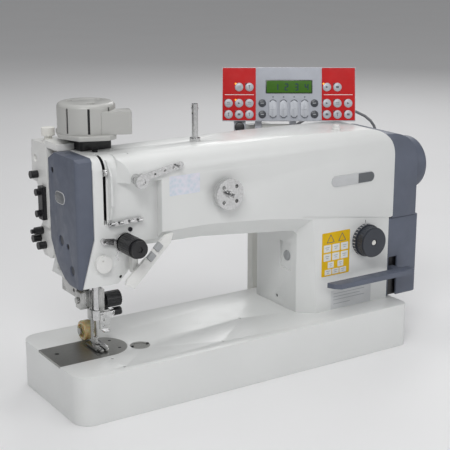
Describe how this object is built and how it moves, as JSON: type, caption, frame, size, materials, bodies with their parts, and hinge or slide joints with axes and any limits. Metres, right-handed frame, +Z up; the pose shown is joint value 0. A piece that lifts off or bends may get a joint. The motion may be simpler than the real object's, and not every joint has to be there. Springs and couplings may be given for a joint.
{
  "type": "flatbed leather sewing machine head",
  "caption": "Flatbed lockstitch sewing machine head for leather, with a motor-driven puller wheel behind the foot and a tilting operating panel on a rear post.",
  "frame": {"origin": "middle of the whole machine's footprint box, on the surface that the bed's skirt rests on", "axes": "+X along the bed and arm towards the handwheel, +Y away from the operator, +Z up"},
  "size_m": [0.59, 0.23, 0.3887],
  "materials": {
    "white_enamel": "textured satin enamel on iron",
    "head_plug_enamel": "smooth white enamel",
    "slate_plastic": "fine matte blue-grey",
    "dark_screw_steel": "oiled",
    "plate_steel": "ground and brushed",
    "bush_bronze": "oiled bearing bronze",
    "bright_chrome": "polished",
    "grey_button": "satin",
    "belt_rubber": "matte toothed belt",
    "motor_iron": "laminated",
    "ground_steel": "ground, slightly worn",
    "black_plastic": "moulded",
    "motor_paint": "warm grey paint",
    "amber_urethane": "translucent polyurethane",
    "cream_plastic": "moulded",
    "post_paint": "pale paint",
    "panel_grey": "silver-grey housing",
    "lead_sheath": "matte"
  },
  "bodies": {
    "machine_frame": {"bed": "white_enamel", "arm": "white_enamel", "face_plate": "slate_plastic", "screws": "dark_screw_steel", "needle_plate": "plate_steel", "bed_cap": "plate_steel", "upper_end_cover": "slate_plastic", "lower_end_cover": "slate_plastic", "rear_cover": "white_enamel", "bearing_bushes": "bush_bronze", "take_up_guard": "white_enamel", "tension_post": "bright_chrome", "thread_guides": "bright_chrome", "thread_post": "bright_chrome", "head_plug": "head_plug_enamel", "keypad_housing": "head_plug_enamel", "dial_ring": "slate_plastic", "timing_belt": "belt_rubber", "motor_stator": "motor_iron", "bobbin_case": "ground_steel", "bobbin": "ground_steel", "presser_spring": "ground_steel", "puller_bracket": "white_enamel", "puller_fittings": "black_plastic", "motor_flange": "motor_paint", "motor_spacer": "black_plastic", "puller_motor": "motor_paint", "panel_post": "post_paint", "panel_lead": "lead_sheath"},
    "main_shaft": {"handwheel": "slate_plastic", "upper_shaft": "ground_steel", "upper_pulley": "ground_steel", "crank": "ground_steel"},
    "hook_drive": {"lower_shaft": "ground_steel", "lower_pulley": "ground_steel", "hook": "ground_steel"},
    "needle_drive": {"needle_bar": "ground_steel", "needle_piece": "ground_steel", "connecting_rod": "ground_steel"},
    "take_up": {"take_up_lever": "bright_chrome"},
    "presser": {"presser_bar": "ground_steel", "presser_foot": "ground_steel", "guide_block": "ground_steel"},
    "edge_guide_slider": {"edge_guide": "ground_steel"},
    "guide_clamp_knob": {"guide_knob": "black_plastic"},
    "feed": {"feed_bar": "ground_steel", "feed_dog": "ground_steel"},
    "dial": {"stitch_dial": "slate_plastic"},
    "back_tack_lever": {"reverse_lever": "slate_plastic"},
    "thread_tension_knob": {"tension_knob": "black_plastic"},
    "thread_check_spring": {"check_spring": "bright_chrome"},
    "pretension": {"pretension_knob": "bright_chrome"},
    "puller_carrier": {"puller_arm": "ground_steel"},
    "puller_roller": {"puller_wheel": "amber_urethane"},
    "puller_adjuster": {"puller_knob": "cream_plastic"},
    "winder": {"winder_spindle": "bright_chrome"},
    "start_key": {"start_button": "grey_button"},
    "tack_key": {"tack_button": "grey_button"},
    "hook_cover": {"slide_plate": "plate_steel"},
    "panel": {"operator_panel": "panel_grey"}
  },
  "joints": [
    {"name": "handwheel_spin", "type": "hinge", "parent": "machine_frame", "child": "main_shaft", "pos_m": [0.005, -0.02848, 0.246], "axis": [1, 0, 0], "continuous": true},
    {"name": "hook_spin", "type": "hinge", "parent": "machine_frame", "child": "hook_drive", "pos_m": [-0.045, -0.02848, 0.028], "axis": [1, 0, 0], "continuous": true},
    {"name": "needle_bar_slide", "type": "slide", "parent": "machine_frame", "child": "needle_drive", "axis": [0, 0, 1], "range_m": [-0.032, 0]},
    {"name": "take_up_swing", "type": "hinge", "parent": "machine_frame", "child": "take_up", "pos_m": [-0.23, -0.01098, 0.27], "axis": [1, 0, 0], "range_deg": [0, 48]},
    {"name": "presser_lift", "type": "slide", "parent": "machine_frame", "child": "presser", "axis": [0, 0, 1], "range_m": [0, 0.009], "stiffness_N_per_m": 1500, "springref_m": -0.012, "deforming": ["presser_spring"]},
    {"name": "edge_guide_shift", "type": "slide", "parent": "presser", "child": "edge_guide_slider", "axis": [1, 0, 0], "range_m": [0, 0.006]},
    {"name": "guide_knob_turn", "type": "hinge", "parent": "presser", "child": "guide_clamp_knob", "pos_m": [-0.207, -0.01598, 0.1195], "axis": [1, 0, 0], "range_deg": [-180, 180]},
    {"name": "feed_stroke", "type": "slide", "parent": "machine_frame", "child": "feed", "axis": [0, 1, 0], "range_m": [-0.003, 0.003]},
    {"name": "stitch_dial_turn", "type": "hinge", "parent": "machine_frame", "child": "dial", "pos_m": [0.1705, -0.09498, 0.156], "axis": [0, 1, 0], "range_deg": [-150, 150]},
    {"name": "reverse_lever_press", "type": "hinge", "parent": "machine_frame", "child": "back_tack_lever", "pos_m": [0.215, -0.03098, 0.102], "axis": [1, 0, 0], "range_deg": [0, 14], "stiffness_Nm_per_rad": 1.2, "springref_deg": -28.65},
    {"name": "tension_knob_turn", "type": "hinge", "parent": "machine_frame", "child": "thread_tension_knob", "pos_m": [-0.207, -0.09498, 0.2095], "axis": [0, 1, 0], "range_deg": [-540, 540]},
    {"name": "check_spring_swing", "type": "hinge", "parent": "machine_frame", "child": "thread_check_spring", "pos_m": [-0.207, -0.07598, 0.2095], "axis": [0, 1, 0], "range_deg": [0, 25], "stiffness_Nm_per_rad": 0.004, "springref_deg": -17.19},
    {"name": "pretension_knob_turn", "type": "hinge", "parent": "machine_frame", "child": "pretension", "pos_m": [-0.194, -0.09498, 0.289], "axis": [0, 1, 0], "range_deg": [-360, 360]},
    {"name": "puller_lift", "type": "slide", "parent": "machine_frame", "child": "puller_carrier", "axis": [0, 0, 1], "range_m": [0, 0.01]},
    {"name": "puller_wheel_spin", "type": "hinge", "parent": "puller_carrier", "child": "puller_roller", "pos_m": [-0.228, 0.00301, 0.0766], "axis": [1, 0, 0], "continuous": true},
    {"name": "puller_knob_turn", "type": "hinge", "parent": "machine_frame", "child": "puller_adjuster", "pos_m": [-0.249, 0.04902, 0.332], "axis": [0, 0, 1], "range_deg": [-540, 540]},
    {"name": "winder_spin", "type": "hinge", "parent": "machine_frame", "child": "winder", "pos_m": [-0.067, -0.08499, 0.256], "axis": [0, 1, 0], "continuous": true},
    {"name": "start_button_press", "type": "slide", "parent": "machine_frame", "child": "start_key", "axis": [0, 1, 0], "range_m": [0, 0.0015], "stiffness_N_per_m": 300, "springref_m": -0.002},
    {"name": "tack_button_press", "type": "slide", "parent": "machine_frame", "child": "tack_key", "axis": [0, 1, 0], "range_m": [0, 0.0015], "stiffness_N_per_m": 300, "springref_m": -0.002},
    {"name": "slide_plate_slide", "type": "slide", "parent": "machine_frame", "child": "hook_cover", "axis": [-1, 0, 0], "range_m": [0, 0.05]},
    {"name": "panel_tilt", "type": "hinge", "parent": "machine_frame", "child": "panel", "pos_m": [0.11979, 0.04086, 0.30458], "axis": [0.8387, -0.5446, 0], "range_deg": [-20, 5]}
  ],
  "couplings": [
    {"joint": "hook_spin", "follows": "handwheel_spin", "ratio": 2},
    {"joint": "take_up_swing", "follows": "needle_bar_slide", "rad_per_m": -26.18}
  ]
}
